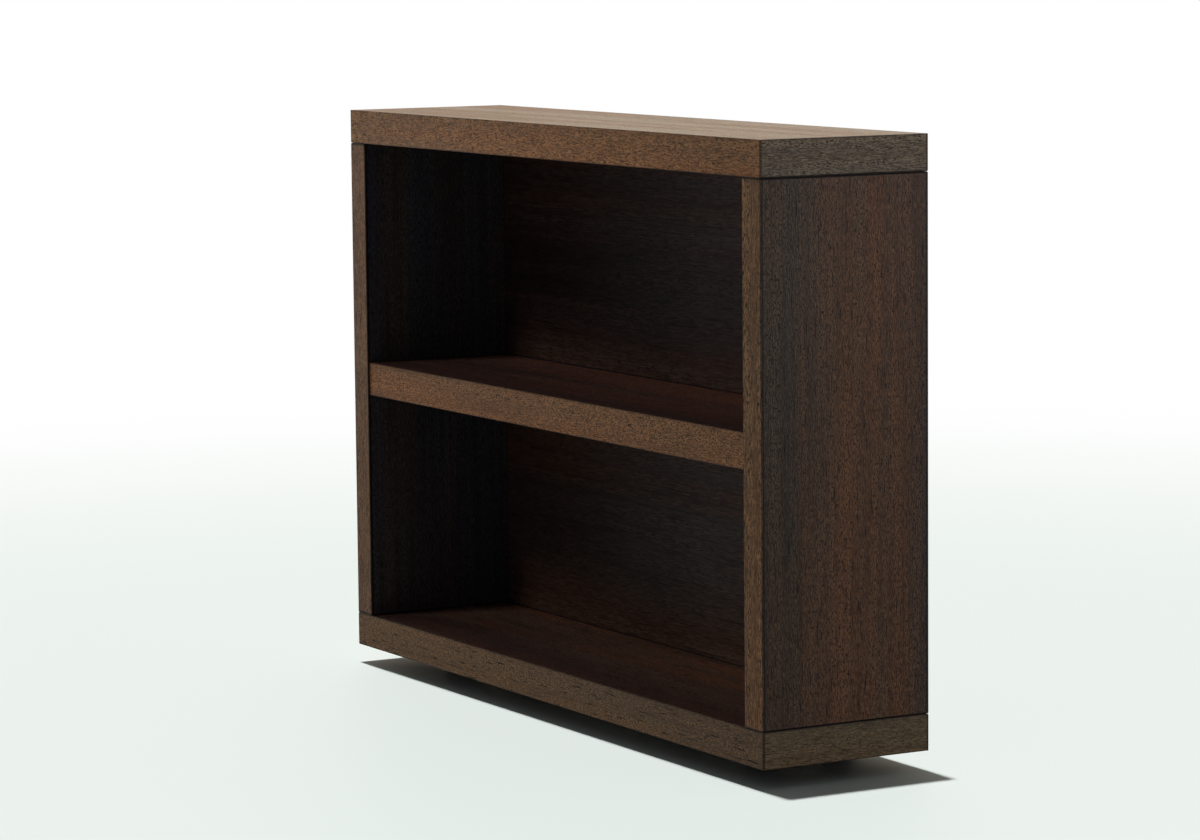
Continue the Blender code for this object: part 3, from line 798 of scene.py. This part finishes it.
def model_threaded_stem():
    """A levelling foot's stem: thread, hexagon collar and spigot. The collar's foot is at height 0."""
    root = STEM_RADIUS - THREAD_DEPTH
    low = COLLAR_HEIGHT + STEM_NECK
    high = COLLAR_HEIGHT + STEM_LENGTH - STEM_TIP
    start = low - 2 * THREAD_PITCH
    crest_low, crest_high = TOOTH_CREST_SHARES
    tooth = [
        (root, start), (root, start + TOOTH_FOOT_SHARE * THREAD_PITCH),
        (STEM_RADIUS, start + crest_low * THREAD_PITCH), (STEM_RADIUS, start + crest_high * THREAD_PITCH),
        (root, start + THREAD_PITCH)]
    stem = draw_profile("stem_pattern", tooth)
    bpy.ops.object.mode_set(mode="OBJECT")
    bpy.ops.object.modifier_add(type="SCREW")
    thread = stem.modifiers[-1]
    thread.axis = "Z"
    thread.angle = 2 * math.pi
    thread.screw_offset = THREAD_PITCH
    thread.iterations = math.ceil((high - start) / THREAD_PITCH) + 1
    thread.steps = THREAD_STEPS
    thread.render_steps = THREAD_STEPS
    thread.use_merge_vertices = True
    thread.merge_threshold = WELD_DISTANCE
    bpy.ops.object.modifier_apply(modifier=thread.name)
    bpy.ops.object.mode_set(mode="EDIT")
    for height, up in ((low, -1), (high, 1)):
        bpy.ops.mesh.select_all(action="SELECT")
        bpy.ops.mesh.bisect(
            plane_co=(0, 0, height), plane_no=(0, 0, up), use_fill=True, clear_outer=True,
            threshold=CUT_DISTANCE)
    close_mesh()
    select_faces(stem, lambda centre, normal: normal.z > END_FACING and centre.z > high - NEAR)
    bpy.ops.mesh.extrude_region_move(TRANSFORM_OT_translate={"value": (0.0, 0.0, STEM_TIP)})
    bpy.ops.transform.resize(
        value=(STEM_TIP_SHARE, STEM_TIP_SHARE, 1.0), center_override=(0.0, 0.0, high + STEM_TIP))
    select_faces(stem, lambda centre, normal: normal.z < -END_FACING and centre.z < low + NEAR)
    bpy.ops.mesh.extrude_region_move(TRANSFORM_OT_translate={"value": (0.0, 0.0, -STEM_SEAT)})
    close_mesh()
    leave_edit_mode()
    collar = add_cylinder("stem_collar", COLLAR_SIDES, COLLAR_CORNER, 0.0, COLLAR_HEIGHT)
    select_edges(collar, lambda place: place.z < NEAR)
    bpy.ops.mesh.bevel(offset=COLLAR_CHAMFER, segments=BEVEL_SEGMENTS, affect="EDGES")
    select_edges(collar, lambda place: place.z > COLLAR_HEIGHT - NEAR)
    bpy.ops.mesh.bevel(offset=COLLAR_CHAMFER, segments=BEVEL_SEGMENTS, affect="EDGES")
    leave_edit_mode()
    spigot = add_cylinder("stem_spigot", ROUND_STEPS, SPIGOT_RADIUS, -SPIGOT_LENGTH, SPIGOT_SEAT)
    select_edges(spigot, lambda place: place.z < -SPIGOT_LENGTH + NEAR)
    bpy.ops.mesh.bevel(offset=SPIGOT_CHAMFER, segments=BEVEL_SEGMENTS, affect="EDGES")
    leave_edit_mode()
    bpy.ops.object.select_all(action="DESELECT")
    for part in (collar, spigot, stem):
        part.select_set(True)
    bpy.context.view_layer.objects.active = stem
    bpy.ops.object.join()
    return stem


def model_moulded_pad():
    """A foot's pad: ribbed shoulder, grip on the rim, rings underneath and a socket for the spigot."""
    floor = PAD_HEIGHT - SPIGOT_LENGTH
    profile = [
        (0.0, floor), (PAD_SOCKET_RADIUS, floor), (PAD_SOCKET_RADIUS, PAD_HEIGHT - PAD_SOCKET_CHAMFER),
        (PAD_SOCKET_RADIUS + PAD_SOCKET_CHAMFER, PAD_HEIGHT)]
    profile += rounded_edge(PAD_SHOULDER_RADIUS, PAD_HEIGHT, PAD_SHOULDER_STEPS)
    profile += rounded_edge(PAD_RADIUS, PAD_RIM_HEIGHT, PAD_RIM_STEPS)
    profile += rounded_edge(PAD_RADIUS, 0.0, PAD_FOOT_STEPS)
    for ring in PAD_RING_RADII:
        profile += rounded_edge(ring, 0.0, PAD_RING_STEPS)
    profile.append((0.0, 0.0))
    pad = draw_profile("pad_pattern", profile)
    turn_on_lathe(PAD_STEPS)
    columns = PAD_STEPS // PAD_RIBS

    def column(place):
        """The number of the pad's column of faces that a place is in."""
        return math.floor(math.atan2(place.y, place.x) / (2 * math.pi / PAD_STEPS))

    def between_ribs(place, normal):
        """Whether a face of the shoulder lies between two ribs."""
        radius = math.hypot(place.x, place.y)
        on_cone = PAD_SHOULDER_RADIUS + RIB_FROM_SHOULDER < radius < PAD_RADIUS - RIB_FROM_RIM
        return on_cone and normal.z > RIB_FACING and column(place) % columns != 0

    def grip(place, normal):
        """Whether a face of the rim is one of the hollows of the grip."""
        outwards = math.hypot(normal.x, normal.y) > GRIP_FACING
        on_rim = math.hypot(place.x, place.y) > PAD_RADIUS - GRIP_BAND
        return outwards and on_rim and column(place) % 2 == 0

    select_faces(pad, between_ribs)
    bpy.ops.mesh.inset(thickness=RIB_WALL, depth=-RIB_HEIGHT)
    select_faces(pad, grip)
    bpy.ops.mesh.inset(thickness=GRIP_WALL, depth=-GRIP_DEPTH, use_individual=True)
    close_mesh()
    leave_edit_mode()
    return pad


def place_copy(pattern, name, place, turn, material):
    """A copy of a modelled pattern with its own mesh, at its place, with its material."""
    bpy.ops.object.select_all(action="DESELECT")
    pattern.select_set(True)
    bpy.context.view_layer.objects.active = pattern
    bpy.ops.object.duplicate()
    piece = bpy.context.active_object
    piece.name = name
    piece.data.name = name
    piece.location = place
    piece.rotation_euler = turn
    bpy.ops.object.transform_apply(location=True, rotation=True, scale=True)
    set_material(piece, material)
    return piece


def fit_piece(piece, node, body):
    """Let a piece stand for a node, which is hidden, and ride on the node's body."""
    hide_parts(node)
    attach(piece, body)


def dress_hardware():
    """Dowels, inserts, stems and pads, each modelled once and copied to its places."""
    dowel = model_fluted_dowel()
    insert = model_barbed_insert()
    stem = model_threaded_stem()
    pad = model_moulded_pad()
    zinc = zinc_plate_material()
    steel = turned_steel_material()
    plastic = black_plastic_material()
    beech = {grain: beech_material(grain) for grain in ("X", "Z")}
    for side in ("left", "right"):
        for joint in ("top", "bottom", "shelf"):
            grain = "X" if joint == "shelf" else "Z"
            turn = TURN_TO_LENGTH if joint == "shelf" else NO_TURN
            for row in (1, 2, 3):
                node = f"dowel_{joint}_{side}_{row}"
                low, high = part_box(node)
                piece = place_copy(dowel, f"fluted_{node}", (low + high) / 2, turn, beech[grain])
                fit_piece(piece, node, "case")
        for level in ("lower", "upper"):
            node = f"fixing_insert_{side}_{level}"
            low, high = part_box(node)
            middle = (low + high) / 2
            place = (middle.x, high.y, middle.z)
            piece = place_copy(insert, f"barbed_{node}", place, TURN_TO_REAR, zinc)
            fit_piece(piece, node, "case")
        for row in ("front", "rear"):
            foot = f"{row}_{side}"
            low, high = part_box(f"foot_insert_{foot}")
            axis = (low + high) / 2
            piece = place_copy(insert, f"barbed_foot_insert_{foot}", (axis.x, axis.y, low.z), NO_TURN, zinc)
            fit_piece(piece, f"foot_insert_{foot}", "case")
            low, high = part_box(f"foot_stem_{foot}")
            collar_foot = (axis.x, axis.y, low.z + SPIGOT_LENGTH)
            piece = place_copy(stem, f"threaded_foot_stem_{foot}", collar_foot, NO_TURN, steel)
            fit_piece(piece, f"foot_stem_{foot}", f"stem_{foot}")
            low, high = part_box(f"foot_pad_{foot}")
            piece = place_copy(pad, f"moulded_foot_pad_{foot}", (axis.x, axis.y, low.z), NO_TURN, plastic)
            fit_piece(piece, f"foot_pad_{foot}", f"pad_{foot}")
    for pattern in (dowel, insert, stem, pad):
        bpy.data.objects.remove(pattern)


def add_camera():
    """The photograph's camera."""
    data = bpy.data.cameras.new("photo_camera")
    data.lens = CAMERA_LENS
    data.sensor_width = CAMERA_SENSOR
    data.sensor_fit = "HORIZONTAL"
    camera = bpy.data.objects.new("photo_camera", data)
    turn = (Matrix.Rotation(math.radians(CAMERA_YAW), 4, "Z")
            @ Matrix.Rotation(math.radians(90 + CAMERA_PITCH), 4, "X")
            @ Matrix.Rotation(math.radians(CAMERA_ROLL), 4, "Z"))
    camera.matrix_world = Matrix.Translation(CAMERA_PLACE) @ turn
    bpy.context.scene.collection.objects.link(camera)
    bpy.context.scene.camera = camera


def add_lamps():
    """Soft boxes, each aimed at its target."""
    for name, (place, target, width, height, power) in LAMPS.items():
        data = bpy.data.lights.new(name, "AREA")
        data.shape = "RECTANGLE"
        data.size = width
        data.size_y = height
        data.energy = power
        lamp = bpy.data.objects.new(name, data)
        aim = Vector(target) - Vector(place)
        lamp.matrix_world = Matrix.Translation(place) @ aim.to_track_quat("-Z", "Y").to_matrix().to_4x4()
        lamp.visible_glossy = name not in LAMPS_WITHOUT_HIGHLIGHTS
        bpy.context.scene.collection.objects.link(lamp)


def add_skylight():
    """The hard light from straight above that draws the sharp shadow under the case."""
    data = bpy.data.lights.new("skylight", "SUN")
    data.energy = SKYLIGHT_STRENGTH
    data.angle = math.radians(SKYLIGHT_ANGLE)
    lamp = bpy.data.objects.new("skylight", data)
    turn = Vector(SKYLIGHT_DIRECTION).to_track_quat("-Z", "Y").to_matrix().to_4x4()
    lamp.matrix_world = Matrix.Translation((0.0, 0.0, SKYLIGHT_HEIGHT)) @ turn
    bpy.context.scene.collection.objects.link(lamp)


def light_world():
    """A white backdrop for the camera, a bright wall in reflections and soft light for the rest."""
    world = bpy.data.worlds.new("studio")
    world.use_nodes = True
    bpy.context.scene.world = world
    tree = world.node_tree
    tree.nodes.clear()
    path = add_node(tree, "ShaderNodeLightPath")
    seen = math_node(tree, "MAXIMUM", path.outputs["Is Camera Ray"], path.outputs["Is Transmission Ray"])
    direction = add_node(tree, "ShaderNodeTexCoord").outputs["Generated"]
    towards = add_node(tree, "ShaderNodeVectorMath", {
        0: direction, 1: REFLECTED_WALL_DIRECTION}, operation="DOT_PRODUCT").outputs["Value"]
    wall = remap(tree, towards, *REFLECTED_WALL_SPREAD, REFLECTED_ROOM, REFLECTED_WALL)
    ambient = add_node(tree, "ShaderNodeBackground", {
        "Color": colour(*AMBIENT_COLOUR), "Strength": AMBIENT_STRENGTH})
    reflected = add_node(tree, "ShaderNodeBackground", {
        "Color": colour(*REFLECTED_WALL_COLOUR), "Strength": wall})
    white = add_node(tree, "ShaderNodeBackground", {"Color": colour(*BACKDROP_COLOUR), "Strength": 1.0})
    mixed = add_node(tree, "ShaderNodeMixShader", {
        0: path.outputs["Is Glossy Ray"], 1: ambient.outputs[0], 2: reflected.outputs[0]})
    mixed = add_node(tree, "ShaderNodeMixShader", {0: seen, 1: mixed.outputs[0], 2: white.outputs[0]})
    add_node(tree, "ShaderNodeOutputWorld", {"Surface": mixed.outputs[0]})


def keep_softboxes_off(floor):
    """Leave the floor to the skylight, so that the shadow under the case stays deep and sharp."""
    skylit = bpy.data.collections.new("lit_by_skylight_only")
    skylit.objects.link(floor)
    for member in skylit.collection_objects:
        member.light_linking.link_state = "EXCLUDE"
    for name in LAMPS:
        bpy.data.objects[name].light_linking.receiver_collection = skylit


def add_floor():
    """A pale floor that keeps the shadow near the case and runs out into the white backdrop."""
    bpy.ops.object.select_all(action="DESELECT")
    bpy.ops.mesh.primitive_plane_add(size=FLOOR_SIZE)
    floor = bpy.context.active_object
    floor.name = "studio_floor"
    material, tree, shader = new_material("studio_floor")
    shader.inputs["Roughness"].default_value = FLOOR_ROUGHNESS
    path = add_node(tree, "ShaderNodeLightPath")
    seen = path.outputs["Is Camera Ray"]
    tone = mix_colour(tree, seen, colour(*FLOOR_BOUNCE_COLOUR), colour(*FLOOR_COLOUR))
    tree.links.new(tone, shader.inputs["Base Color"])
    position = add_node(tree, "ShaderNodeTexCoord").outputs["Object"]
    radius = add_node(tree, "ShaderNodeVectorMath", {0: position}, operation="LENGTH").outputs["Value"]
    far = remap(tree, radius, FLOOR_NEAR_RADIUS, FLOOR_FAR_RADIUS)
    white = add_node(tree, "ShaderNodeEmission", {"Color": colour(*BACKDROP_COLOUR), "Strength": 1.0})
    mixed = add_node(tree, "ShaderNodeMixShader", {
        0: math_node(tree, "MULTIPLY", far, seen), 1: shader.outputs[0], 2: white.outputs[0]})
    tree.links.new(mixed.outputs[0], tree.nodes["Material Output"].inputs["Surface"])
    set_material(floor, material)
    keep_softboxes_off(floor)


bpy.context.scene.view_settings.view_transform = "Standard"
add_camera()
add_lamps()
add_skylight()
light_world()
add_floor()
dress_veneer()
dress_hardware()
